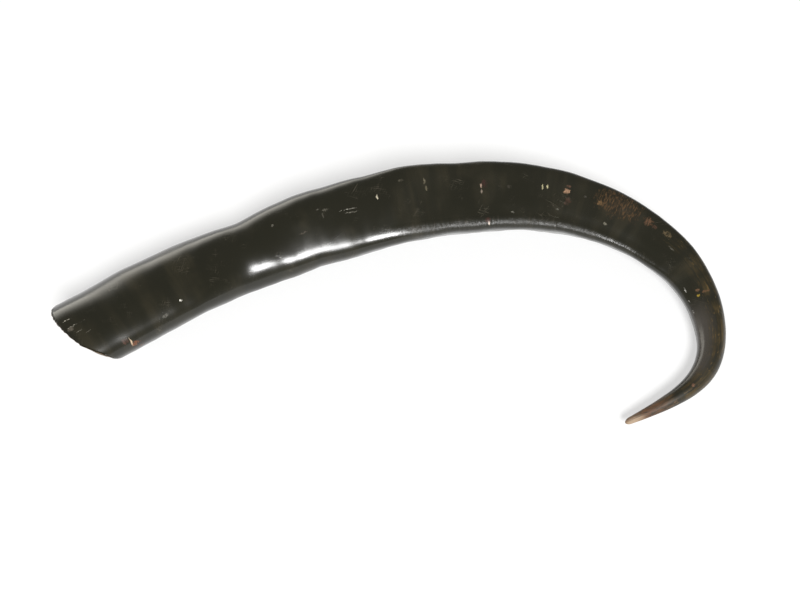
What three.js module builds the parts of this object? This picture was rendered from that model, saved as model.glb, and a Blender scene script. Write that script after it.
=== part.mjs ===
// A water buffalo's horn lying on its side: one hollow, curved, tapering piece of horn, sawn off slantwise
// at the base. Millimetres, +Z up. The base runs along +X and the horn hooks round towards -Y. The origin
// is on the surface it lies on, under the middle of its box.

import * as THREE from 'three';
import { ParametricGeometry } from 'three/addons/geometries/ParametricGeometry.js';
import { mergeVertices } from 'three/addons/utils/BufferGeometryUtils.js';

const degrees = THREE.MathUtils.degToRad;
const smoothstep = THREE.MathUtils.smoothstep;

// ---- Driving dimensions ----

// The run of the horn from its base to its tip, as a batten bent past these stations: where the middle of
// the section lies in plan, and half the section's width across and depth upwards.
const stations = [
  { x: -281.3, y: 135.8, halfWidth: 37.9, halfDepth: 30 },
  { x: -162.7, y: 145, halfWidth: 39.7, halfDepth: 31.5 },
  { x: -93.4, y: 137.7, halfWidth: 34.6, halfDepth: 27.5 },
  { x: -14.8, y: 126.7, halfWidth: 36.6, halfDepth: 32 },
  { x: 56.7, y: 102.5, halfWidth: 26.9, halfDepth: 29 },
  { x: 123.4, y: 75.2, halfWidth: 26, halfDepth: 29 },
  { x: 185.3, y: 37.2, halfWidth: 23.2, halfDepth: 25.5 },
  { x: 227.3, y: -20.8, halfWidth: 18.2, halfDepth: 22 },
  { x: 249.7, y: -89.8, halfWidth: 15.6, halfDepth: 16.5 },
  { x: 211.7, y: -176.4, halfWidth: 11.4, halfDepth: 10 },
  { x: 114.3, y: -166.5, halfWidth: 2.8, halfDepth: 3 },
];

// From here on, a place along the horn is a share of the way from the first station, 0, to the last, 1.
// A place around it is an angle: 0 on the outside of the bend, 90 degrees on top, 180 inside the bend, 270
// underneath.
const tip = { lift: 9, liftFrom: 0.8, roundOver: 0.005 };

// The saw cut that ends the base: a point of it, how far it leans over the base, and its swing towards the
// inner side.
const sawCut = { at: new THREE.Vector3(-234, 138, 30), lean: degrees(42), swing: degrees(10) };

// The hollow that held the bony core: the wall at the rim and near the bottom, where the bottom is, and how
// bluntly it ends.
const hollow = { rimWall: 4.5, deepWall: 9, bottom: 0.4, bluntness: 2.6 };

// The section is a rounded polygon with four faces, and its corners are crisper at the base than at the tip.
const corners = { base: 3, tip: 2.1 };

// Inside the bend the wall is undercut, and the flat upper face slopes down to it. At the fullest, these turn
// the faces from square, and at the base they are turned by a share of that.
const turned = { atBase: 0.9, outer: degrees(-5), upper: degrees(12), inner: degrees(30) };

// What follows is formed over a run of the horn: it grows from a share of its length, is full by the next,
// then fades from a third share to a fourth.

// Where the two faces meet inside the bend, a ridge makes the corners this much crisper.
const ridge = { from: 0.2, full: 0.36, fading: 0.72, to: 0.9, crisper: 2.5 };

// Bevels take off the upper corners: the outer one from the base on, the inner one farther along.
const bevels = [
  { from: -0.1, full: 0, fading: 0.1, to: 0.42, angle: degrees(48), reach: 0.88 },
  { from: 0.12, full: 0.24, fading: 0.3, to: 0.44, angle: degrees(124), reach: 1.08 },
];

// A long groove runs inside the bend, between the flat upper face and the inner wall, with a low keel below
// it.
const grooving = { from: 0.42, full: 0.57, fading: 0.84, to: 0.92 };
const groove = { angle: degrees(137), spread: degrees(9), depth: 1.1 };
const keel = { angle: degrees(160), spread: degrees(12), height: 0.8 };

// Slow swellings and hollows left by growth, each a wave along the horn that turns as it goes.
const swellings = [
  { height: 0.55, waves: 7.5, turns: 1, phase: 0.4 },
  { height: 0.4, waves: 12, turns: -2, phase: 2.1 },
  { height: 0.25, waves: 19, turns: 1, phase: 4.0 },
];

// How finely the surface is drawn, and how near two corners are when they are one.
const facets = { around: 36, alongHollow: 26, alongOutside: 92, crowding: 1.5 };
const weldWithin = 1e-4;

// ---- The run of the horn ----

// A uniform cubic B-spline through one measure of the stations, with its ends carried straight on.
function batten(measure, share) {
  const last = stations.length - 1;
  const value = (i) => {
    if (i < 0) return 2 * stations[0][measure] - stations[1][measure];
    if (i > last) return 2 * stations[last][measure] - stations[last - 1][measure];
    return stations[i][measure];
  };
  const i = THREE.MathUtils.clamp(Math.floor(share * last), 0, last - 1);
  const f = share * last - i;
  const before = (1 - f) ** 3 * value(i - 1);
  const near = (3 * f ** 3 - 6 * f ** 2 + 4) * value(i);
  const next = (-3 * f ** 3 + 3 * f ** 2 + 3 * f + 1) * value(i + 1);
  const after = f ** 3 * value(i + 2);
  return (before + near + next + after) / 6;
}

// The middle of the section: the horn's underside lies on the surface, and lifts towards the tip.
function middle(share) {
  const lift = tip.lift * smoothstep(share, tip.liftFrom, 1);
  return new THREE.Vector3(batten('x', share), batten('y', share), batten('halfDepth', share) + lift);
}

// The level direction in which the horn runs at a share of its length.
function heading(share) {
  const step = 1e-4;
  const run = middle(share + step).sub(middle(share - step));
  return run.setZ(0).normalize();
}

// ---- The section ----

// How far a run is formed at a share, from 0 to 1. It can start out partly formed at the base.
function formed(run, share, atBase = 0) {
  const grown = THREE.MathUtils.lerp(atBase, 1, smoothstep(share, run.from, run.full));
  return grown * (1 - smoothstep(share, run.fading, run.to));
}

// A rounded polygon: each face pulls the outline in to its own reach, and the sum of the pulls rounds the
// corners.
function polygonRadius(share, angle) {
  const width = batten('halfWidth', share);
  const depth = batten('halfDepth', share);
  const turn = formed(ridge, share, turned.atBase);
  const rounded = THREE.MathUtils.lerp(corners.base, corners.tip, smoothstep(share, 0, 1));
  const crispness = rounded + ridge.crisper * formed(ridge, share);
  const pull = (face, reach) => (Math.max(0, Math.cos(angle - face)) / reach) ** crispness;
  const bevelPull = (bevel) => {
    const corner = Math.hypot(width * Math.cos(bevel.angle), depth * Math.sin(bevel.angle));
    return formed(bevel, share) * pull(bevel.angle, bevel.reach * corner);
  };
  const pulls = pull(turned.outer * turn, width)
    + pull(Math.PI / 2 + turned.upper * turn, depth)
    + pull(Math.PI + turned.inner * turn, width)
    + pull(3 * Math.PI / 2, depth)
    + bevels.reduce((sum, bevel) => sum + bevelPull(bevel), 0);
  return pulls ** (-1 / crispness);
}

function bump(angle, centre, spread) {
  return Math.exp(-(((angle - centre) / spread) ** 2));
}

// What stands proud of the polygon, or is sunk into it. It shrinks with the horn's width.
function relief(share, angle) {
  const slimness = batten('halfWidth', share) / stations[0].halfWidth;
  const grooved = formed(grooving, share);
  const swelling = swellings.reduce((sum, wave) => sum
    + wave.height * Math.sin(2 * Math.PI * wave.waves * share + wave.turns * angle + wave.phase), 0);
  return slimness * (swelling
    + grooved * keel.height * bump(angle, keel.angle, keel.spread)
    - grooved * groove.depth * bump(angle, groove.angle, groove.spread));
}

// The section closes in a short dome at the tip.
function tipClosing(share) {
  const past = Math.max(0, share - (1 - tip.roundOver)) / tip.roundOver;
  return Math.sqrt(Math.max(0, 1 - past ** 2));
}

function outerRadius(share, angle) {
  return (polygonRadius(share, angle) + relief(share, angle)) * tipClosing(share);
}

// The wall thickens from the rim, and the hollow closes to a blunt point at its bottom.
function innerRadius(share, angle, rimShare) {
  const way = THREE.MathUtils.clamp((share - rimShare) / (hollow.bottom - rimShare), 0, 1);
  const wall = THREE.MathUtils.lerp(hollow.rimWall, hollow.deepWall, way);
  return (polygonRadius(share, angle) - wall) * Math.sqrt(1 - way ** hollow.bluntness);
}

function onSection(share, angle, radius) {
  const run = heading(share);
  const outwards = new THREE.Vector3(-run.y, run.x, 0);
  const point = middle(share).addScaledVector(outwards, radius * Math.cos(angle));
  point.z += radius * Math.sin(angle);
  return point;
}

// ---- The saw cut ----

const cutNormal = new THREE.Vector3(
  -Math.cos(sawCut.lean) * Math.cos(sawCut.swing),
  -Math.sin(sawCut.swing),
  -Math.sin(sawCut.lean) * Math.cos(sawCut.swing),
);

const closingIn = { start: 0.05, ahead: 1e-3, rounds: 12 };

// The share at which a line along the horn's wall meets the cut, closed in on by steps of the distance that
// is still left.
function rimShare(angle, radiusAt) {
  let share = closingIn.start;
  for (let round = 0; round < closingIn.rounds; round += 1) {
    const next = share + closingIn.ahead;
    const here = onSection(share, angle, radiusAt(share));
    const ahead = onSection(next, angle, radiusAt(next));
    const gap = here.clone().sub(sawCut.at).dot(cutNormal);
    const gained = ahead.sub(here).dot(cutNormal) / closingIn.ahead;
    share -= gap / gained;
  }
  return share;
}

// ---- The skin ----

const ringCount = facets.alongHollow + 1 + facets.alongOutside;
const innerRim = facets.alongHollow / ringCount;
const outerRim = (facets.alongHollow + 1) / ringCount;

const rims = new Map();

// Where the outer and the inner wall meet the cut at an angle, worked out once for each.
function rimsAt(angle) {
  if (!rims.has(angle)) {
    const outer = rimShare(angle, (share) => outerRadius(share, angle));
    const inner = rimShare(angle, (share) => polygonRadius(share, angle) - hollow.rimWall);
    rims.set(angle, { outer, inner });
  }
  return rims.get(angle);
}

// One closed skin: up the hollow from its bottom to the rim, across the sawn face, and down the outside to
// the tip.
function skin(around, along, target) {
  const angle = 2 * Math.PI * (around % 1);
  const rim = rimsAt(angle);
  if (along <= innerRim) {
    const share = THREE.MathUtils.lerp(hollow.bottom, rim.inner, along / innerRim);
    target.copy(onSection(share, angle, innerRadius(share, angle, rim.inner)));
  } else if (along < outerRim) {
    const inside = onSection(rim.inner, angle, innerRadius(rim.inner, angle, rim.inner));
    const outside = onSection(rim.outer, angle, outerRadius(rim.outer, angle));
    target.copy(inside.lerp(outside, (along - innerRim) / (outerRim - innerRim)));
  } else {
    const left = (1 - along) / (1 - outerRim);
    const share = 1 - (1 - rim.outer) * left ** facets.crowding;
    target.copy(onSection(share, angle, outerRadius(share, angle)));
  }
}

function hornGeometry() {
  const drawn = new ParametricGeometry(skin, facets.around, ringCount);
  drawn.deleteAttribute('normal');
  drawn.deleteAttribute('uv');
  const closed = mergeVertices(drawn, weldWithin);
  closed.computeVertexNormals();
  return closed;
}

// ---- The part ----

const polishedHorn = new THREE.MeshStandardMaterial({ color: 0x211e1a, roughness: 0.25, metalness: 0 });

const horn = new THREE.Mesh(hornGeometry(), polishedHorn);
horn.name = 'horn';
horn.geometry.computeBoundingBox();
const box = horn.geometry.boundingBox;
const boxMiddle = box.getCenter(new THREE.Vector3());
horn.position.set(-boxMiddle.x, -boxMiddle.y, -box.min.z);

const part = new THREE.Group();
part.add(horn);

export default part;
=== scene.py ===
import math

import bpy
import numpy as np
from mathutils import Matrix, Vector


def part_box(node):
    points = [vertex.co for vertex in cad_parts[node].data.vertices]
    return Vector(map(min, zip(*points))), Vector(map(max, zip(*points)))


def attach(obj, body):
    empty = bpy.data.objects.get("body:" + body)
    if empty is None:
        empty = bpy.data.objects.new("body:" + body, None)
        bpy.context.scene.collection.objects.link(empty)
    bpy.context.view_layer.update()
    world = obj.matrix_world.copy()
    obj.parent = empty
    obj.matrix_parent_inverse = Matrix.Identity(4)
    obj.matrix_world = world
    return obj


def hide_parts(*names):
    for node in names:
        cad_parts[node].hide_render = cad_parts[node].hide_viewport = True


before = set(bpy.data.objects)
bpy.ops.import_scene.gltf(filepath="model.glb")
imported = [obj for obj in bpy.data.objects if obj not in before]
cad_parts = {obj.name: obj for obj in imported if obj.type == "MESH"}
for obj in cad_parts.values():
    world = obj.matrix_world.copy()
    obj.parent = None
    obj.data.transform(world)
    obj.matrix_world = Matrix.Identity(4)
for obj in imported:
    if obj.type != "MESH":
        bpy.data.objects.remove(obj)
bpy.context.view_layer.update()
print("frame loaded")

# The horn's form, in metres and degrees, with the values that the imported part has. A place along the horn is
# a share from 0, the first station, to 1, the last. A place around it is an angle: 0 outside the bend, 90 on
# top, 180 inside the bend and 270 underneath. A run is four shares: where a feature starts, is full, starts
# to fade and is gone.
hornForm = {
    "stations": [  # middle of the section in plan, half its width and half its depth
        (-0.2813, 0.1358, 0.0379, 0.0300),
        (-0.1627, 0.1450, 0.0397, 0.0315),
        (-0.0934, 0.1377, 0.0346, 0.0275),
        (-0.0148, 0.1267, 0.0366, 0.0320),
        (0.0567, 0.1025, 0.0269, 0.0290),
        (0.1234, 0.0752, 0.0260, 0.0290),
        (0.1853, 0.0372, 0.0232, 0.0255),
        (0.2273, -0.0208, 0.0182, 0.0220),
        (0.2497, -0.0898, 0.0156, 0.0165),
        (0.2117, -0.1764, 0.0114, 0.0100),
        (0.1143, -0.1665, 0.0028, 0.0030),
    ],
    "tipLift": 0.009, "liftFrom": 0.8, "tipRoundOver": 0.005,
    "cutAt": (-0.234, 0.138, 0.030), "cutLean": 42, "cutSwing": 10,
    "rimWall": 0.0045, "deepWall": 0.009, "hollowBottom": 0.4, "hollowBluntness": 2.6,
    "baseCorners": 3, "tipCorners": 2.1,
    "turnedAtBase": 0.9, "outerTurn": -5, "upperTurn": 12, "innerTurn": 30,
    "ridge": (0.2, 0.36, 0.72, 0.9), "ridgeCrispness": 2.5,
    "bevels": [  # run, angle and reach
        ((-0.1, 0, 0.1, 0.42), 48, 0.88),
        ((0.12, 0.24, 0.3, 0.44), 124, 1.08),
    ],
    "grooving": (0.42, 0.57, 0.84, 0.92),
    "grooveAngle": 137, "grooveSpread": 9, "grooveDepth": 0.0011,
    "keelAngle": 160, "keelSpread": 12, "keelHeight": 0.0008,
    "swellings": [  # height, waves along the horn, turns around it, phase
        (0.00055, 7.5, 1, 0.4),
        (0.0004, 12, -2, 2.1),
        (0.00025, 19, 1, 4.0),
    ],
}

# What only the skin has: growth rings, ripples, dents, the sawn rim's raggedness, a chip and the worn tip.
hornSurface = {
    "inset": 0.0003,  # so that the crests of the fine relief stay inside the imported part's box
    "calmBefore": (0.12, 0.2), "calmAngle": 150, "calmSpread": 45,  # where the swellings are polished down
    "ringHeight": 0.00008, "ringWaves": 58, "ringCrest": 5,
    "ringMiddle": 232, "ringSpread": 60, "ringLeast": 0.1,  # strongest inside the bend, this share elsewhere
    "ringWanders": [  # size, waves along in radians, twist, phase
        (3.6, 17.3, 1.3, 0),
        (2.16, 41.7, 1, math.pi / 2),
    ],
    "rippleSeed": 7, "ripples": 14, "rippleHeight": 0.000018,
    "rippleWaves": (60, 420), "rippleTurns": (-5, 6),  # what is drawn lies between these
    "dents": [  # share, angle, half length, half width, depth
        (0.263, 148, 0.020, 0.009, 0.00045),
        (0.206, 156, 0.016, 0.010, 0.0004),
        (0.120, 116, 0.020, 0.014, 0.0004),
        (0.335, 88, 0.014, 0.012, 0.0003),
        (0.520, 68, 0.018, 0.010, 0.0003),
        (0.701, 87, 0.014, 0.010, 0.0003),
    ],
    "tipCalmFrom": 0.6, "tipCalmed": 0.6,  # rings, ripples and dents grow fainter towards the tip
    "chipShare": 0.050, "chipAngle": 158, "chipLength": 0.008, "chipWidth": 0.007, "chipDepth": 0.0003,
    "chipSetBack": 0.0032, "chipSpread": 13,
    "rimSetBack": 0.0003, "raggedness": 0.00015, "raggedWaves": [(23, 0), (38, 1), (51, 2)],  # turns, phase
    "rimRounding": 0.0006, "rimSquareness": 9,
    "rimRows": (0.03, 0.1, 0.22, 0.36, 0.5, 0.64, 0.78, 0.9, 0.97),  # ways across the wall
    "sawSteps": 0.00012, "sawWaves": 9000, "sawRun": (0.1, 0.25, 0.9),
    "tipFrom": 0.955, "tipGrooves": 13, "tipGrooveDepth": 0.0004, "tipGrooveSway": 1.5,
    "hollowWaves": [  # height, waves along in radians, turns around, phase
        (0.00025, 60, 37, 0),
        (0.0003, -25, 11, 1),
    ],
    "outerRows": 660, "innerRows": 80, "around": 116, "outerCrowding": 1.3, "innerCrowding": 0.9,
}

stations = np.array(hornForm["stations"])


# 3t^2 - 2t^3, where t is the way from low to high, held between 0 and 1.
def smooth(value, low, high):
    t = np.clip((value - low) / (high - low), 0, 1)
    return t * t * (3 - 2 * t)


# Uniform cubic B-spline through one column of the stations, with its ends carried straight on.
def batten(column, share):
    first, last = stations[0, column], stations[-1, column]
    before = 2 * first - stations[1, column]
    beyond = 2 * last - stations[-2, column]
    knots = np.concatenate([[before], stations[:, column], [beyond, beyond]])
    spans = len(stations) - 1
    i = np.clip(np.floor(share * spans).astype(int), 0, spans - 1)
    f = share * spans - i
    return ((1 - f) ** 3 * knots[i] + (3 * f**3 - 6 * f**2 + 4) * knots[i + 1]
            + (-3 * f**3 + 3 * f**2 + 3 * f + 1) * knots[i + 2] + f**3 * knots[i + 3]) / 6


# The section's middle: the batten in plan, at half its depth above the floor, lifted towards the tip.
def middle(share):
    lift = hornForm["tipLift"] * smooth(share, hornForm["liftFrom"], 1)
    return np.stack([batten(0, share), batten(1, share), batten(3, share) + lift], -1)


# Level unit vector square to the run of the horn, pointing out of the bend.
def outward(share):
    step = 1e-4
    run = middle(share + step) - middle(share - step)
    length = np.hypot(run[..., 0], run[..., 1])
    return np.stack([-run[..., 1] / length, run[..., 0] / length, np.zeros_like(length)], -1)


# How far a run is formed at a share, from 0 to 1. It can start out partly formed at the base.
def formed(run, share, atBase=0):
    start, full, fading, end = run
    return (atBase + (1 - atBase) * smooth(share, start, full)) * (1 - smooth(share, fading, end))


# Rounded polygon: (sum of (cos of the turn from a face / its reach)^crispness)^(-1 / crispness), over the
# four faces and the bevels. The inner face is undercut, so that it meets the flat upper face in a ridge.
def polygonRadius(share, angle):
    form = hornForm
    width, depth = batten(2, share), batten(3, share)
    turned = formed(form["ridge"], share, form["turnedAtBase"])
    crispness = form["baseCorners"] + (form["tipCorners"] - form["baseCorners"]) * smooth(share, 0, 1)
    crispness = crispness + form["ridgeCrispness"] * formed(form["ridge"], share)

    def pull(square, turn, reach):
        face = math.radians(square) + math.radians(turn) * turned
        return (np.maximum(0, np.cos(angle - face)) / reach) ** crispness

    pulls = (pull(0, form["outerTurn"], width) + pull(90, form["upperTurn"], depth)
             + pull(180, form["innerTurn"], width) + pull(270, 0, depth))
    for run, square, reach in form["bevels"]:
        corner = np.hypot(width * math.cos(math.radians(square)), depth * math.sin(math.radians(square)))
        pulls = pulls + formed(run, share) * pull(square, 0, reach * corner)
    return pulls ** (-1 / crispness)


# exp(-(d / spread)^2), where d is the shortest turn from the angle to a centre, in degrees.
def bump(angle, centre, spread):
    turn = (np.degrees(angle) - centre + 180) % 360 - 180
    return np.exp(-((turn / spread) ** 2))


denseShare = np.linspace(0, 1, 4001)
denseArc = np.concatenate([[0], np.cumsum(np.linalg.norm(np.diff(middle(denseShare), axis=0), axis=1))])


# Length along the section's middle from the first station, read off a finely divided run.
def arcAt(share):
    return np.interp(share, denseShare, denseArc)


# exp(-(along / half length)^2 - (across / half width)^2) around a place on the skin.
def patch(share, angle, place, halfLength, halfWidth):
    along = arcAt(share) - arcAt(place[0])
    turn = (angle - math.radians(place[1]) + math.pi) % (2 * math.pi) - math.pi
    return np.exp(-((along / halfLength) ** 2) - (turn * batten(2, share) / halfWidth) ** 2)


# Swellings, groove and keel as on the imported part: waves of share and angle, and two long bumps. On the skin
# the swellings are polished down around one angle near the base.
def grownRelief(share, angle):
    form, surface = hornForm, hornSurface
    slimness = batten(2, share) / stations[0, 2]
    waves = sum(height * np.sin(2 * math.pi * count * share + turns * angle + phase)
                for height, count, turns, phase in form["swellings"])
    calm = 1 - smooth(share, *surface["calmBefore"])
    waves = waves * (1 - calm * bump(angle, surface["calmAngle"], surface["calmSpread"]))
    keel = form["keelHeight"] * bump(angle, form["keelAngle"], form["keelSpread"])
    groove = form["grooveDepth"] * bump(angle, form["grooveAngle"], form["grooveSpread"])
    return slimness * (waves + formed(form["grooving"], share) * (keel - groove))


# Growth rings, which are crests (0.5 + 0.5 sin)^n of a wandering wave, with faint ripples from seeded waves
# and with dents.
def fineRelief(share, angle):
    form = hornSurface
    wander = sum(size * np.sin(along * share + twist * np.sin(angle + phase))
                 for size, along, twist, phase in form["ringWanders"])
    wave = np.sin(2 * math.pi * form["ringWaves"] * share + wander)
    where = form["ringLeast"] + (1 - form["ringLeast"]) * bump(angle, form["ringMiddle"], form["ringSpread"])
    relief = form["ringHeight"] * where * (0.5 + 0.5 * wave) ** form["ringCrest"]
    draw = np.random.default_rng(form["rippleSeed"])
    for _ in range(form["ripples"]):
        along, around = draw.uniform(*form["rippleWaves"]), draw.integers(*form["rippleTurns"])
        phase = draw.uniform(0, 2 * math.pi)
        relief = relief + form["rippleHeight"] * np.sin(along * share + around * angle + phase)
    for *place, halfLength, halfWidth, depth in form["dents"]:
        relief = relief - depth * patch(share, angle, place, halfLength, halfWidth)
    return relief * (1 - form["tipCalmed"] * smooth(share, form["tipCalmFrom"], 1))


# The dent beside the chip in the sawn rim, and the splits between the fibres at the worn tip, which are
# sqrt(|sin of a swaying turn|) - 1.
def wornRelief(share, angle):
    form = hornSurface
    chipAt = form["chipShare"], form["chipAngle"]
    chip = form["chipDepth"] * patch(share, angle, chipAt, form["chipLength"], form["chipWidth"])
    swaying = 0.5 * form["tipGrooves"] * angle + form["tipGrooveSway"] * np.sin(2 * angle)
    deep = form["tipGrooveDepth"] * smooth(share, form["tipFrom"], 1) ** 2
    return deep * (np.sqrt(np.abs(np.sin(swaying))) - 1) - chip


# (polygon + relief - inset), closed at the tip by sqrt(1 - past^2) over the last short share.
def outerRadius(share, angle):
    past = np.maximum(0, share - (1 - hornForm["tipRoundOver"])) / hornForm["tipRoundOver"]
    relief = grownRelief(share, angle) + fineRelief(share, angle) + wornRelief(share, angle)
    radius = polygonRadius(share, angle) + relief - hornSurface["inset"]
    return radius * np.sqrt(np.maximum(0, 1 - past**2))


# (polygon - wall + waves) * sqrt(1 - way^bluntness), where way runs from the rim to the hollow's bottom.
def innerRadius(share, angle, rim):
    way = np.clip((share - rim) / (hornForm["hollowBottom"] - rim), 0, 1)
    wall = hornForm["rimWall"] + (hornForm["deepWall"] - hornForm["rimWall"]) * way
    rough = sum(height * np.sin(turns * angle + along * share + phase)
                for height, along, turns, phase in hornSurface["hollowWaves"])
    closing = np.sqrt(1 - way ** hornForm["hollowBluntness"])
    return (polygonRadius(share, angle) - wall + rough * (1 - way)) * closing


# middle + outward * radius * cos(angle) + up * radius * sin(angle).
def onSection(share, angle, radius):
    level = (radius * np.cos(angle))[..., None] * outward(share)
    return middle(share) + level + np.stack([0 * radius, 0 * radius, radius * np.sin(angle)], -1)


lean, swing = math.radians(hornForm["cutLean"]), math.radians(hornForm["cutSwing"])
cutNormal = -np.array([math.cos(lean) * math.cos(swing), math.sin(swing), math.sin(lean) * math.cos(swing)])


# Share at which a line along the wall meets the saw cut, closed in on by Newton's steps.
def rimShare(angle, radiusAt):
    firstGuess, ahead, steps = 0.05, 1e-3, 12
    share = np.full(angle.shape, firstGuess)
    for _ in range(steps):
        here = onSection(share, angle, radiusAt(share))
        further = onSection(share + ahead, angle, radiusAt(share + ahead))
        gap = (here - np.array(hornForm["cutAt"])) @ cutNormal
        share = share - gap * ahead / ((further - here) @ cutNormal)
    return share


# The straightened horn, for patterns that follow its fibres: (length along, radius * cos, radius * sin).
def straightened(share, angle, radius):
    return np.stack([arcAt(share), radius * np.cos(angle), radius * np.sin(angle)], -1)


outsideSlot, rimSlot, hollowSlot = 0, 1, 2  # the order of the skin's materials


# Rings of points from the hollow's bottom up to the rim, across the sawn face, and along the outside, with
# their places in the straightened horn and the material of each row of faces.
def hornRings():
    form, surface = hornForm, hornSurface
    angle = np.linspace(0, 2 * math.pi, surface["around"], endpoint=False)[None, :]
    rimInner = rimShare(angle, lambda share: polygonRadius(share, angle) - form["rimWall"])
    rimOuter = rimShare(angle, lambda share: polygonRadius(share, angle) + grownRelief(share, angle))
    ragged = sum(np.sin(turns * angle + phase) for turns, phase in surface["raggedWaves"])
    chipped = surface["chipSetBack"] * bump(angle, surface["chipAngle"], surface["chipSpread"])
    rimOuter = rimOuter + surface["rimSetBack"] + surface["raggedness"] * ragged + chipped

    # rows of the hollow, closer together at its bottom and at the rim
    way = np.sin(np.linspace(0, 1, surface["innerRows"] + 1)[1:, None] * math.pi / 2)
    climbed = (1 - np.cos(way * math.pi / 2)) ** surface["innerCrowding"]
    innerShare = form["hollowBottom"] + (rimInner - form["hollowBottom"]) * climbed
    innerR = innerRadius(innerShare, angle, rimInner)
    inner = onSection(innerShare, angle, innerR)

    # rows of the outside, closer together towards the tip
    left = np.linspace(1, 0, surface["outerRows"] + 1)[:-1, None]
    outerShare = 1 - (1 - rimOuter) * left ** surface["outerCrowding"]
    outerR = outerRadius(outerShare, angle)
    outer = onSection(outerShare, angle, outerR)

    # rows across the sawn face, with saw marks, and set back at both edges by |2 across - 1|^squareness
    across = np.array(surface["rimRows"])[:, None, None]
    flat = inner[-1:] + (outer[:1] - inner[-1:]) * across
    steps = surface["sawSteps"] * np.sin(surface["sawWaves"] * (flat @ np.array(surface["sawRun"])))
    setBack = steps - surface["rimRounding"] * np.abs(2 * across[..., 0] - 1) ** surface["rimSquareness"]
    rim = flat + setBack[..., None] * cutNormal

    innerStraight = straightened(innerShare, angle, innerR)
    outerStraight = straightened(outerShare, angle, outerR)
    rimStraight = innerStraight[-1:] + (outerStraight[:1] - innerStraight[-1:]) * across
    rings = np.concatenate([inner, rim, outer])
    straight = np.concatenate([innerStraight, rimStraight, outerStraight])
    slots = np.repeat([hollowSlot, rimSlot, outsideSlot], [len(inner) - 1, len(rim) + 1, len(outer) - 1])
    return rings, straight, slots


# Six times the volume under a set of triangles: the sum of a . (b x c).
def signedVolume(a, b, c):
    return np.einsum("ij,ij->i", a, np.cross(b, c)).sum()


# Rings joined by quads and closed at both ends by fans, turned so that the enclosed volume is positive, and
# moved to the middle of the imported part's box and down to its floor.
def hornMesh():
    rings, straight, slots = hornRings()
    count, around = rings.shape[:2]
    bottom, tip = middle(np.array(hornForm["hollowBottom"])), middle(np.array(1.0))
    points = np.concatenate([rings.reshape(-1, 3), [bottom, tip]])
    ends = [[arcAt(hornForm["hollowBottom"]), 0, 0], [denseArc[-1], 0, 0]]
    straight = np.concatenate([straight.reshape(-1, 3), ends])

    row = np.arange(count - 1)[:, None] * around
    here = np.arange(around)[None, :]
    beside = (here + 1) % around
    corners = [row + here, row + beside, row + around + beside, row + around + here]
    quads = np.stack(corners, -1).reshape(-1, 4)
    lastRow, bottomPoint, tipPoint = (count - 1) * around, count * around, count * around + 1
    bottomFan = np.stack([np.full(around, bottomPoint), beside[0], here[0]], -1)
    tipFan = np.stack([lastRow + here[0], lastRow + beside[0], np.full(around, tipPoint)], -1)
    a, b, c, d = (points[quads[:, k]] for k in range(4))
    volume = (signedVolume(a, b, c) + signedVolume(a, c, d)) / 6
    if volume < 0:
        quads, bottomFan, tipFan = quads[:, ::-1], bottomFan[:, ::-1], tipFan[:, ::-1]

    low, high = (np.array(corner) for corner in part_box("horn"))
    shift = (low + high) / 2 - (points.min(0) + points.max(0)) / 2
    shift[2] = low[2] - points[:, 2].min()
    points = points + shift

    mesh = bpy.data.meshes.new("polishedHorn")
    mesh.from_pydata(points.tolist(), [], quads.tolist() + bottomFan.tolist() + tipFan.tolist())
    perFace = np.concatenate([np.repeat(slots, around), np.repeat([hollowSlot, outsideSlot], around)])
    mesh.polygons.foreach_set("material_index", perFace.astype(np.int32))
    mesh.polygons.foreach_set("use_smooth", np.ones(len(mesh.polygons), bool))
    layer = mesh.attributes.new("straight", "FLOAT_VECTOR", "POINT")
    layer.data.foreach_set("vector", straight.astype(np.float32).ravel())
    mesh.update()
    triangles = 2 * len(quads) + 2 * around
    print(f"skin: {len(points)} points, {triangles} triangles, volume {abs(volume) * 1000:.3f} litres")
    return mesh, shift


skinMesh, skinShift = hornMesh()
horn = bpy.data.objects.new("polished_horn", skinMesh)
bpy.context.scene.collection.objects.link(horn)


# A place on the skin, by its share and angle, in the straightened horn.
def straightPlace(share, angle):
    share, turn = np.array(share), np.array(math.radians(angle))
    return tuple(float(v) for v in straightened(share, turn, outerRadius(share, turn)))


# A value goes into a node's input as its default, and a socket is linked to it.
def feed(tree, socket, value):
    if isinstance(value, bpy.types.NodeSocket):
        tree.links.new(value, socket)
    else:
        socket.default_value = value


# A node with its settings, and its inputs fed.
def addNode(tree, kind, inputs=(), **settings):
    node = tree.nodes.new(kind)
    for name, value in settings.items():
        setattr(node, name, value)
    for key, value in dict(inputs).items():
        feed(tree, node.inputs[key], value)
    return node


def addMath(tree, operation, first, second=0.0):
    return addNode(tree, "ShaderNodeMath", {0: first, 1: second}, operation=operation).outputs[0]


# Product of all the values.
def product(tree, first, *others):
    for other in others:
        first = addMath(tree, "MULTIPLY", first, other)
    return first


# Sum of all the values.
def plus(tree, first, *others):
    for other in others:
        first = addMath(tree, "ADD", first, other)
    return first


# A vector, or a value where the operation measures one.
def addVector(tree, operation, *inputs):
    node = addNode(tree, "ShaderNodeVectorMath", dict(enumerate(inputs)), operation=operation)
    return node.outputs["Value" if operation in ("LENGTH", "DOT_PRODUCT") else "Vector"]


def addCombined(tree, x, y, z):
    return addNode(tree, "ShaderNodeCombineXYZ", {0: x, 1: y, 2: z}).outputs[0]


def addNoise(tree, place, scale=1.0, detail=3.0, roughness=0.5, output="Fac"):
    inputs = {"Vector": place, "Scale": scale, "Detail": detail, "Roughness": roughness}
    return addNode(tree, "ShaderNodeTexNoise", inputs).outputs[output]


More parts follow.
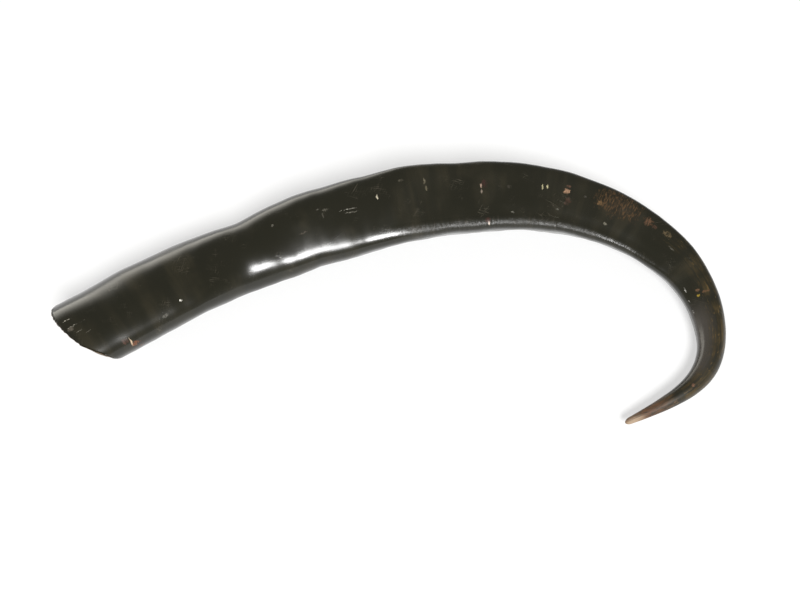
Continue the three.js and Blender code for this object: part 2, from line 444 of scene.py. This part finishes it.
# low..high is carried to toLow..toHigh, smoothly and without going past them.
def addRange(tree, value, low, high, toLow=0.0, toHigh=1.0):
    inputs = {"Value": value, "From Min": low, "From Max": high, "To Min": toLow, "To Max": toHigh}
    return addNode(tree, "ShaderNodeMapRange", inputs, interpolation_type="SMOOTHSTEP").outputs["Result"]


# A mix of two colours, each given as a socket or as red, green and blue.
def addMix(tree, factor, under, over):
    under, over = (c if isinstance(c, bpy.types.NodeSocket) else (*c, 1) for c in (under, over))
    return addNode(tree, "ShaderNodeMix", {0: factor, 6: under, 7: over}, data_type="RGBA").outputs[2]


def addBump(tree, strength, distance, height):
    inputs = {"Strength": strength, "Distance": distance, "Height": height}
    return addNode(tree, "ShaderNodeBump", inputs).outputs[0]


# An empty node group with its sockets, and its input and output nodes.
def newGroup(name, inputs, output):
    group = bpy.data.node_groups.new(name, "ShaderNodeTree")
    for socket, kind in inputs.items():
        group.interface.new_socket(name=socket, in_out="INPUT", socket_type=kind)
    group.interface.new_socket(name=output, in_out="OUTPUT", socket_type="NodeSocketFloat")
    return group, addNode(group, "NodeGroupInput").outputs, addNode(group, "NodeGroupOutput").inputs


# A group's node with its inputs, which are named as the group names them, and its one output.
def useGroup(tree, group, inputs):
    return addNode(tree, "ShaderNodeGroup", inputs, node_tree=group).outputs[0]


effects = {
    "grainDetail": 4.0, "grainRoughness": 0.6,
    "bandAcross": 0.12,  # bands change this many times as fast around the horn as along it
    "spotCore": 0.55,  # a spot is full within this share of its size
    "scratchSets": [(0.35, 3.0), (-0.9, 8.0)],  # turn in radians, and shift of the noise
    "scratchAlong": 0.06,  # and scratches this many times as fast along as across
    "lineDetail": 1.0, "lineMiddle": 0.5,
    "scratchClouds": 60.0, "cloudDetail": 2.0, "scratchedFrom": 0.55, "scratchedFull": 0.7,
}


# Noise drawn out along the fibres: noise at the straightened place times (along, across, across).
def makeFibreGrain():
    inputs = {"Straight": "NodeSocketVector", "Along": "NodeSocketFloat", "Across": "NodeSocketFloat"}
    group, given, made = newGroup("fibreGrain", inputs, "Grain")
    scale = addCombined(group, given["Along"], given["Across"], given["Across"])
    place = addVector(group, "MULTIPLY", given["Straight"], scale)
    noise = addNoise(group, place, detail=effects["grainDetail"], roughness=effects["grainRoughness"])
    feed(group, made["Grain"], noise)
    return group


# Uneven bands across the horn, from noise that hardly changes around it.
def makeGrowthBands():
    inputs = {"Straight": "NodeSocketVector", "Per metre": "NodeSocketFloat"}
    group, given, made = newGroup("growthBands", inputs, "Bands")
    across = product(group, given["Per metre"], effects["bandAcross"])
    scale = addCombined(group, given["Per metre"], across, across)
    place = addVector(group, "MULTIPLY", given["Straight"], scale)
    feed(group, made["Bands"], addNoise(group, place))
    return group


# 1 inside an ellipsoid around a centre in the straightened horn, falling to 0 at its edge.
def makeSpot():
    inputs = {"Straight": "NodeSocketVector", "Centre": "NodeSocketVector", "Half size": "NodeSocketVector"}
    group, given, made = newGroup("spot", inputs, "Mask")
    away = addVector(group, "SUBTRACT", given["Straight"], given["Centre"])
    length = addVector(group, "LENGTH", addVector(group, "DIVIDE", away, given["Half size"]))
    feed(group, made["Mask"], addRange(group, length, 1.0, effects["spotCore"]))
    return group


# Hair-fine scratches: the narrow middle values of two drawn-out noises that cross each other, kept in clouds.
def makeScratches():
    inputs = {"Straight": "NodeSocketVector", "Per metre": "NodeSocketFloat", "Fineness": "NodeSocketFloat"}
    group, given, made = newGroup("scratches", inputs, "Mask")
    lines = []
    for turn, shift in effects["scratchSets"]:
        turned = addNode(group, "ShaderNodeVectorRotate", {"Vector": given["Straight"], "Angle": turn},
                         rotation_type="Z_AXIS").outputs[0]
        along = product(group, given["Per metre"], effects["scratchAlong"])
        scale = addCombined(group, along, given["Per metre"], along)
        place = addVector(group, "MULTIPLY_ADD", turned, scale, (shift, shift, shift))
        noise = addNoise(group, place, detail=effects["lineDetail"])
        offMiddle = addMath(group, "SUBTRACT", noise, effects["lineMiddle"])
        lines.append(addRange(group, addMath(group, "ABSOLUTE", offMiddle), given["Fineness"], 0.0))
    clouds = addNoise(group, given["Straight"], effects["scratchClouds"], effects["cloudDetail"])
    clouds = addRange(group, clouds, effects["scratchedFrom"], effects["scratchedFull"])
    feed(group, made["Mask"], product(group, addMath(group, "MAXIMUM", *lines), clouds))
    return group


fibreGrain, growthBands, spot, scratches = makeFibreGrain(), makeGrowthBands(), makeSpot(), makeScratches()
print("shared node groups made")


# A material's tree with the shader, its output and the straightened place.
def newMaterial(name):
    material = bpy.data.materials.new(name)
    material.use_nodes = True
    tree = material.node_tree
    tree.nodes.clear()
    shader = addNode(tree, "ShaderNodeBsdfPrincipled")
    addNode(tree, "ShaderNodeOutputMaterial", {"Surface": shader.outputs[0]})
    straight = addNode(tree, "ShaderNodeAttribute", attribute_name="straight").outputs["Vector"]
    return material, tree, shader.inputs, straight


# Linear colour from 0..255 sRGB values.
def colour(red, green, blue):
    return tuple(float(v) for v in (np.array([red, green, blue]) / 255) ** 2.2)


# A pair is where something starts and where it is full, as shares of the horn's length or as values of a
# noise. Where two more numbers follow, they are what it goes from and to.
polish = {
    "ior": 1.54, "roughness": 0.25, "baseRoughness": 0.2, "baseRoughTo": (0.18, 0.24),
    "cloudRoughness": (0.35, 0.7, -0.05, 0.05),
    "bumpStrength": 0.35, "bumpDistance": 0.00012,
    "fibreBump": 0.4, "bandBump": 0.5, "scratchBump": -0.35, "fleckBump": 0.5,
    "black": colour(33, 32, 23), "brownBlack": colour(45, 42, 31),
    "bandsPerMetre": 90.0, "bandTone": (0.35, 0.7), "cloudsPerMetre": 24.0, "cloudTone": (0.4, 0.65),
    "fibres": {"Along": 22.0, "Across": 420.0}, "flecks": {"Along": 150.0, "Across": 900.0},
    "grains": {"Along": 1100.0, "Across": 230.0}, "ticks": {"Along": 420.0, "Across": 110.0},
    "wobblesPerMetre": 380.0, "wobble": {"detail": 3.0, "roughness": 0.65},
    "ragged": 0.0036, "frayed": 0.008, "torn": 0.022,  # edges are made uneven in three ways, by these lengths
    "frayedFrom": 0.0028,  # marks that are this wide or wider fray
    "hook": (0.70, 0.86), "outerHalf": (-0.002, 0.012), "outerWander": 0.012, "hookRoughness": 0.12,
    "hookBrown": colour(72, 60, 36), "brownStrength": 0.85,
    "fibreTone": (0.38, 0.62), "mottleTone": (0.3, 0.6),
    # the hook's sheen is painted: a grey in the colour of the hook's inner half, standing in for reflected
    # light
    "hookSheen": colour(108, 101, 97), "sheenStrength": 0.28, "sheenFrom": (0.80, 0.84), "sheenTo": (0.93, 0.89),
    "hookFleck": colour(150, 120, 70), "fleckStrength": 0.55, "fleckTone": (0.6, 0.72),
    "patchAt": (0.670, 76), "patchSize": (0.026, 0.014, 0.014),
    "patchUnder": colour(42, 34, 24), "underStrength": 0.35,
    "patchGrain": colour(82, 63, 43), "grainTone": (0.46, 0.64),
    # a band along the ridge: rougher, bumped with ticks, and with pale ticks painted in as glints
    "ridgeAngle": 150, "ridgeSpread": (11, 5), "ridgeFrom": (0.40, 0.45), "ridgeTo": (0.75, 0.62),
    "ridgeGlintTicks": colour(62, 56, 48), "tickTone": (0.55, 0.68, 0.0, 0.4),
    "wornRoughness": 0.16, "wornBump": 28.0,
    "speckleTone": (0.36, 0.6, 0.15, 1.0), "markRoughness": 0.2,
    "tipWander": 0.03, "brownTip": (0.052, 0.020), "creamTip": (0.022, 0.004),  # lengths before the very tip
    "tipBrown": colour(90, 61, 39), "tipCream": colour(158, 136, 112), "tipTone": (0.34, 0.58),
    "creamSide": (-0.001, 0.003, 0.3, 1.0), "tipRoughness": 0.25,
    "scratch": colour(120, 112, 98), "scratchStrength": 0.28, "scratchesPerMetre": 500.0, "fineness": 0.012,
}

# Marks left by growth and wear, and a few painted glints and reflection streaks: share, angle, half length,
# half width, colour, strength.
hornMarks = [
    (0.026, 90, 0.0048, 0.0005, colour(186, 180, 166), 0.85),
    (0.027, 106, 0.0052, 0.0006, colour(178, 172, 158), 0.85),
    (0.029, 119, 0.0042, 0.0005, colour(160, 154, 142), 0.8),
    (0.035, 107, 0.0060, 0.0003, colour(92, 88, 78), 0.5),
    (0.025, 110, 0.0036, 0.0022, colour(108, 101, 90), 0.6),
    (0.035, 126, 0.0040, 0.0005, colour(124, 117, 106), 0.6),
    (0.054, 156, 0.0036, 0.0032, colour(70, 42, 28), 0.85),
    (0.061, 164, 0.0050, 0.0030, colour(116, 68, 38), 0.85),
    (0.065, 172, 0.0030, 0.0018, colour(92, 56, 36), 0.7),
    (0.058, 160, 0.0008, 0.0060, colour(206, 180, 150), 0.9),
    (0.094, 153, 0.0040, 0.0016, colour(98, 94, 84), 0.5),
    (0.114, 146, 0.0015, 0.0014, colour(228, 224, 212), 1.0),
    (0.247, 88, 0.0013, 0.0014, colour(112, 108, 98), 0.8),
    (0.276, 122, 0.0050, 0.0009, colour(70, 58, 44), 0.6),
    (0.309, 92, 0.0036, 0.0014, colour(104, 100, 90), 0.7),
    (0.300, 88, 0.0020, 0.0010, colour(96, 92, 84), 0.6),
    (0.304, 102, 0.0008, 0.0030, colour(96, 92, 84), 0.5),
    # painted highlight: the next two pale thin lines along the top stand in for a bright streak of reflected
    # light
    (0.335, 101, 0.0095, 0.0006, colour(172, 168, 156), 0.9),
    (0.338, 107, 0.0080, 0.0005, colour(142, 138, 126), 0.75),
    (0.371, 90, 0.0010, 0.0030, colour(206, 196, 172), 0.95),
    (0.402, 69, 0.0034, 0.0012, colour(96, 90, 78), 0.6),
    (0.430, 74, 0.0009, 0.0034, colour(120, 112, 92), 0.65),
    (0.431, 86, 0.0012, 0.0026, colour(112, 104, 84), 0.6),
    (0.498, 90, 0.0011, 0.0028, colour(172, 146, 128), 0.85),
    (0.498, 101, 0.0008, 0.0024, colour(150, 136, 122), 0.7),
    (0.502, 86, 0.0030, 0.0045, colour(58, 30, 26), 0.6),
    (0.537, 137, 0.0019, 0.0010, colour(122, 120, 110), 0.7),
    (0.596, 126, 0.0024, 0.0010, colour(116, 114, 104), 0.7),
    # painted reflections: the next two thin grey lines along the groove stand in for streaks of reflected
    # light
    (0.595, 139, 0.0080, 0.0006, colour(72, 70, 62), 0.7),
    (0.562, 148, 0.0060, 0.0006, colour(78, 76, 68), 0.6),
    (0.574, 86, 0.0009, 0.0028, colour(206, 196, 152), 0.9),
    (0.580, 84, 0.0008, 0.0028, colour(206, 196, 152), 0.8),
    (0.533, 92, 0.0026, 0.0020, colour(58, 54, 46), 0.7),
    (0.605, 86, 0.0034, 0.0032, colour(156, 122, 96), 0.95),
    (0.606, 76, 0.0024, 0.0014, colour(96, 70, 54), 0.8),
    (0.608, 106, 0.0030, 0.0055, colour(68, 44, 32), 0.8),
    (0.628, 86, 0.0016, 0.0014, colour(84, 80, 72), 0.6),
    (0.664, 126, 0.0024, 0.0016, colour(124, 120, 104), 0.7),
    (0.649, 88, 0.0036, 0.0030, colour(110, 84, 54), 0.7),
    (0.710, 75, 0.0046, 0.0046, colour(106, 76, 54), 0.6),
    (0.720, 76, 0.0030, 0.0022, colour(80, 56, 42), 0.6),
    (0.737, 72, 0.0055, 0.0034, colour(98, 84, 60), 0.65),
    (0.752, 92, 0.0044, 0.0010, colour(104, 100, 90), 0.6),
    # painted glint: a near-white tick on the ridge; the dark red stain around it in the next line is the
    # horn's own colour
    (0.504, 149, 0.0010, 0.0026, colour(240, 222, 206), 1.0),
    (0.503, 146, 0.0032, 0.0026, colour(74, 36, 28), 0.6),
    (0.811, 105, 0.0018, 0.0022, colour(122, 90, 66), 0.8),
    (0.817, 109, 0.0015, 0.0019, colour(152, 128, 44), 0.85),
    (0.815, 81, 0.0014, 0.0045, colour(112, 80, 54), 0.6),
    # painted glints: the next three pale lines along the inner edge of the hook
    (0.805, 136, 0.0040, 0.0005, colour(222, 219, 210), 0.9),
    (0.819, 141, 0.0030, 0.0004, colour(176, 172, 164), 0.7),
    (0.832, 146, 0.0018, 0.0005, colour(206, 203, 196), 0.8),
    (0.929, 70, 0.0020, 0.0016, colour(134, 94, 72), 0.6),
    (0.952, 40, 0.0024, 0.0012, colour(112, 84, 60), 0.55),
    (0.300, 300, 0.0050, 0.0030, colour(110, 104, 86), 0.6),
    (0.450, 335, 0.0020, 0.0050, colour(150, 130, 100), 0.7),
    (0.620, 318, 0.0060, 0.0050, colour(96, 66, 40), 0.7),
    (0.180, 345, 0.0030, 0.0030, colour(130, 126, 110), 0.6),
]


# Near-black polished keratin: bands and fibres in the black, brown flecks and a painted grey sheen on the
# inner side of the hook, a brown patch, a rough band along the ridge with painted pale glint ticks, the marks
# (a few of them painted glints and reflection streaks), a pale tip and scratches.
def polishedOutside():
    material, tree, shader, straight = newMaterial("polishedHornOutside")
    along, level, high = addNode(tree, "ShaderNodeSeparateXYZ", {0: straight}).outputs
    whole = float(denseArc[-1])
    wobble = addNoise(tree, straight, polish["wobblesPerMetre"], output="Color", **polish["wobble"])
    wobble = addVector(tree, "SUBTRACT", wobble, (0.5, 0.5, 0.5))
    ragged, frayed, torn = (addVector(tree, "MULTIPLY_ADD", wobble, (polish[key],) * 3, straight)
                            for key in ("ragged", "frayed", "torn"))

    # where along the horn something starts and is full, in shares of its length
    def alongRange(shares, *toRange):
        return addRange(tree, along, *(whole * share for share in shares), *toRange)

    bands = useGroup(tree, growthBands, {"Straight": straight, "Per metre": polish["bandsPerMetre"]})
    fibres, flecks, grains, ticks = (useGroup(tree, fibreGrain, {"Straight": straight, **polish[key]})
                                     for key in ("fibres", "flecks", "grains", "ticks"))
    clouds = addNoise(tree, straight, polish["cloudsPerMetre"])
    banded, clouded = addRange(tree, bands, *polish["bandTone"]), addRange(tree, clouds, *polish["cloudTone"])
    base = addMix(tree, product(tree, banded, clouded), polish["black"], polish["brownBlack"])

    hook = alongRange(polish["hook"])
    outerHalf = plus(tree, level, product(tree, fibres, polish["outerWander"]))
    outerHalf = addRange(tree, outerHalf, *polish["outerHalf"])
    outerHook = product(tree, hook, outerHalf)
    drawn = addRange(tree, fibres, *polish["fibreTone"])
    mottled = addRange(tree, bands, *polish["mottleTone"])
    hookMask = product(tree, outerHook, drawn, mottled, polish["brownStrength"])
    base = addMix(tree, hookMask, base, polish["hookBrown"])
    # painted sheen: a grey mixed into the colour of the hook's inner half, towards its end
    innerHalf = addMath(tree, "SUBTRACT", 1.0, outerHalf)
    innerHookSheen = product(tree, alongRange(polish["sheenFrom"]), alongRange(polish["sheenTo"]), innerHalf)
    base = addMix(tree, product(tree, innerHookSheen, polish["sheenStrength"]), base, polish["hookSheen"])
    flecked = addRange(tree, flecks, *polish["fleckTone"])
    base = addMix(tree, product(tree, flecked, outerHook, polish["fleckStrength"]), base, polish["hookFleck"])

    patchPlace = {"Centre": straightPlace(*polish["patchAt"]), "Half size": polish["patchSize"]}
    brownPatch = useGroup(tree, spot, {"Straight": torn, **patchPlace})
    base = addMix(tree, product(tree, brownPatch, polish["underStrength"]), base, polish["patchUnder"])
    brownMask = product(tree, brownPatch, addRange(tree, grains, *polish["grainTone"]))
    base = addMix(tree, brownMask, base, polish["patchGrain"])

    # A band along the ridge inside the bend: rougher, with bumped ticks, and with pale ticks painted into its
    # colour as the glints of the fine growth ridges.
    around = addMath(tree, "ARCTAN2", high, level)
    offRidge = addMath(tree, "ABSOLUTE", addMath(tree, "SUBTRACT", around, math.radians(polish["ridgeAngle"])))
    onRidge = addRange(tree, offRidge, *(math.radians(spread) for spread in polish["ridgeSpread"]))
    ridgeBand = product(tree, onRidge, alongRange(polish["ridgeFrom"]), alongRange(polish["ridgeTo"]))
    paintedGlintTicks = product(tree, ridgeBand, addRange(tree, ticks, *polish["tickTone"]))
    base = addMix(tree, paintedGlintTicks, base, polish["ridgeGlintTicks"])

    speckle = addRange(tree, grains, *polish["speckleTone"])
    # the marks, a few of them painted glints and reflections, each mixed into the colour and made a little
    # rougher
    markMasks = 0.0
    for share, angle, halfLength, halfWidth, tint, strength in hornMarks:
        edges = frayed if min(halfLength, halfWidth) >= polish["frayedFrom"] else ragged
        markPlace = {"Centre": straightPlace(share, angle), "Half size": (halfLength, halfWidth, halfWidth)}
        mask = product(tree, useGroup(tree, spot, {"Straight": edges, **markPlace}), speckle, strength)
        base = addMix(tree, mask, base, tint)
        markMasks = addMath(tree, "MAXIMUM", mask, markMasks)

    wander = product(tree, addMath(tree, "SUBTRACT", fibres, 0.5), polish["tipWander"])
    tipWay = plus(tree, along, wander)
    browned, creamed = (addRange(tree, tipWay, *(whole - length for length in polish[key]))
                        for key in ("brownTip", "creamTip"))
    tipMask = product(tree, browned, addRange(tree, flecks, *polish["tipTone"]))
    base = addMix(tree, tipMask, base, polish["tipBrown"])
    outside = addRange(tree, level, *polish["creamSide"])
    base = addMix(tree, product(tree, creamed, outside), base, polish["tipCream"])

    scored = useGroup(tree, scratches, {"Straight": straight, "Per metre": polish["scratchesPerMetre"],
                                        "Fineness": polish["fineness"]})
    base = addMix(tree, product(tree, scored, polish["scratchStrength"]), base, polish["scratch"])

    roughness = plus(
        tree,
        alongRange(polish["baseRoughTo"], polish["baseRoughness"], polish["roughness"]),
        addRange(tree, clouds, *polish["cloudRoughness"]),
        product(tree, markMasks, polish["markRoughness"]),
        product(tree, ridgeBand, polish["wornRoughness"]),
        product(tree, browned, polish["tipRoughness"]),
        product(tree, outerHook, polish["hookRoughness"]))
    height = plus(
        tree,
        product(tree, fibres, polish["fibreBump"]),
        product(tree, bands, polish["bandBump"]),
        product(tree, scored, polish["scratchBump"]),
        product(tree, flecks, hook, polish["fleckBump"]),
        product(tree, ridgeBand, ticks, polish["wornBump"]))
    feed(tree, shader["IOR"], polish["ior"])
    feed(tree, shader["Base Color"], base)
    feed(tree, shader["Roughness"], roughness)
    feed(tree, shader["Normal"], addBump(tree, polish["bumpStrength"], polish["bumpDistance"], height))
    return material


sawnFace = {
    "dark": colour(58, 48, 38), "pale": colour(126, 106, 82), "roughness": 0.62,
    "layersPerMetre": 2600.0, "layerWaver": 5.0, "layerTone": (0.35, 0.65), "layerShare": 0.7,
    "grain": {"Along": 900.0, "Across": 1500.0}, "grainShare": 0.3,
    "scratchesPerMetre": 900.0, "fineness": 0.03,
    "bumpStrength": 0.6, "bumpDistance": 0.0003,
}


# Sawn horn: thin layers around the wall, as noise of (radius, direction), crossed by saw marks.
def sawnRim():
    material, tree, shader, straight = newMaterial("sawnRim")
    acrossHorn = addVector(tree, "MULTIPLY", straight, (0.0, 1.0, 1.0))
    facing = addNode(tree, "ShaderNodeSeparateXYZ", {0: addVector(tree, "NORMALIZE", acrossHorn)}).outputs
    place = addCombined(
        tree,
        product(tree, addVector(tree, "LENGTH", acrossHorn), sawnFace["layersPerMetre"]),
        product(tree, facing[1], sawnFace["layerWaver"]),
        product(tree, facing[2], sawnFace["layerWaver"]))
    layers = addNoise(tree, place)
    grain = useGroup(tree, fibreGrain, {"Straight": straight, **sawnFace["grain"]})
    scored = useGroup(tree, scratches, {"Straight": straight, "Per metre": sawnFace["scratchesPerMetre"],
                                        "Fineness": sawnFace["fineness"]})
    layered = product(tree, addRange(tree, layers, *sawnFace["layerTone"]), sawnFace["layerShare"])
    tone = plus(tree, layered, product(tree, grain, sawnFace["grainShare"]))
    height = plus(tree, layers, grain, scored)
    feed(tree, shader["Base Color"], addMix(tree, tone, sawnFace["dark"], sawnFace["pale"]))
    feed(tree, shader["Roughness"], sawnFace["roughness"])
    feed(tree, shader["Normal"], addBump(tree, sawnFace["bumpStrength"], sawnFace["bumpDistance"], height))
    return material


rawHollow = {
    "dark": colour(70, 58, 44), "pale": colour(134, 116, 92), "roughness": 0.8,
    "grain": {"Along": 30.0, "Across": 700.0}, "grainTone": (0.3, 0.7),
    "bandsPerMetre": 160.0, "bandTone": (0.2, 0.6),
    "bumpStrength": 0.7, "bumpDistance": 0.0006,
}


# The raw inside of the hollow: matt, stained in bands and drawn out in fibres.
def hollowInside():
    material, tree, shader, straight = newMaterial("rawHollow")
    grain = useGroup(tree, fibreGrain, {"Straight": straight, **rawHollow["grain"]})
    bands = useGroup(tree, growthBands, {"Straight": straight, "Per metre": rawHollow["bandsPerMetre"]})
    drawn = addRange(tree, grain, *rawHollow["grainTone"])
    banded = addRange(tree, bands, *rawHollow["bandTone"])
    height = plus(tree, grain, bands)
    base = addMix(tree, product(tree, drawn, banded), rawHollow["dark"], rawHollow["pale"])
    feed(tree, shader["Base Color"], base)
    feed(tree, shader["Roughness"], rawHollow["roughness"])
    feed(tree, shader["Normal"], addBump(tree, rawHollow["bumpStrength"], rawHollow["bumpDistance"], height))
    return material


for made in (polishedOutside(), sawnRim(), hollowInside()):  # in the order of their slots
    skinMesh.materials.append(made)
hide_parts("horn")
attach(horn, "root")
print("materials made")

studio = {
    "floorSize": 8.0, "floorColour": (0.40, 0.40, 0.40), "floorRoughness": 0.9, "floorGlow": 0.56,
    "aim": (0.009513, 0.026971, 0.024994), "azimuth": -31, "elevation": 60, "lens": 70, "distance": 1.3533,
    "clip": (0.05, 50),
    "softboxTowards": (-0.215, -0.636, 0.741), "softboxOver": (-0.06, 0.12, 0.05),
    "softboxDistance": 8.0, "softboxSize": 2.6, "softboxPower": 800,
    "cardTowards": 100, "cardEdge": (0.7, 0.94),  # a bright card stands this way round, in degrees
    "card": (4.4, 4.25, 3.85), "horizon": (0.45, 0.45, 0.44),
    "zenith": (0.22, 0.22, 0.215), "zenithFrom": 0.75,
}


# A wide plain square that glows a little, so that shadows on it stay faint.
def makeFloor():
    half = studio["floorSize"] / 2
    mesh = bpy.data.meshes.new("studioFloor")
    corners = [(-half, -half, 0), (half, -half, 0), (half, half, 0), (-half, half, 0)]
    mesh.from_pydata(corners, [], [(0, 1, 2, 3)])
    material = bpy.data.materials.new("paleFloor")
    material.use_nodes = True
    shader = material.node_tree.nodes["Principled BSDF"].inputs
    shader["Base Color"].default_value = (*studio["floorColour"], 1)
    shader["Roughness"].default_value = studio["floorRoughness"]
    shader["Emission Color"].default_value = (1, 1, 1, 1)
    shader["Emission Strength"].default_value = studio["floorGlow"]
    mesh.materials.append(material)
    floor = bpy.data.objects.new("studio_floor", mesh)
    bpy.context.scene.collection.objects.link(floor)


# One large softbox, far off.
def makeSoftbox():
    towards = Vector(studio["softboxTowards"]).normalized()
    light = bpy.data.lights.new("softbox", "AREA")
    light.shape, light.size, light.energy = "DISK", studio["softboxSize"], studio["softboxPower"]
    lamp = bpy.data.objects.new("softbox", light)
    lamp.location = Vector(studio["softboxOver"]) + towards * studio["softboxDistance"]
    lamp.rotation_euler = towards.to_track_quat("Z", "Y").to_euler()
    bpy.context.scene.collection.objects.link(lamp)


# A dim sky that darkens with height, with a bright card standing at the horizon.
def makeSky():
    world = bpy.data.worlds.new("studio")
    world.use_nodes = True
    tree = world.node_tree
    direction = addNode(tree, "ShaderNodeTexCoord").outputs["Generated"]
    azimuth = math.radians(studio["cardTowards"])
    facing = addVector(tree, "DOT_PRODUCT", direction, (math.cos(azimuth), math.sin(azimuth), 0.0))
    horizon = addMix(tree, addRange(tree, facing, *studio["cardEdge"]), studio["horizon"], studio["card"])
    upwards = addNode(tree, "ShaderNodeSeparateXYZ", {0: direction}).outputs[2]
    sky = addMix(tree, addRange(tree, upwards, 0.0, studio["zenithFrom"]), horizon, studio["zenith"])
    feed(tree, tree.nodes["Background"].inputs["Color"], sky)
    bpy.context.scene.world = world


# The camera looks along (sin a cos e, -cos a cos e, sin e) reversed, for azimuth a and elevation e.
def makeCamera():
    azimuth, elevation = math.radians(studio["azimuth"]), math.radians(studio["elevation"])
    level = math.cos(elevation)
    back = Vector((math.sin(azimuth) * level, -math.cos(azimuth) * level, math.sin(elevation)))
    data = bpy.data.cameras.new("camera")
    data.lens = studio["lens"]
    data.clip_start, data.clip_end = studio["clip"]
    camera = bpy.data.objects.new("camera", data)
    camera.location = Vector(studio["aim"]) + Vector(skinShift) + back * studio["distance"]
    camera.rotation_euler = back.to_track_quat("Z", "Y").to_euler()
    bpy.context.scene.collection.objects.link(camera)
    bpy.context.scene.camera = camera


makeFloor()
makeSoftbox()
makeSky()
makeCamera()
bpy.context.scene.view_settings.view_transform = "Standard"
print("studio made")
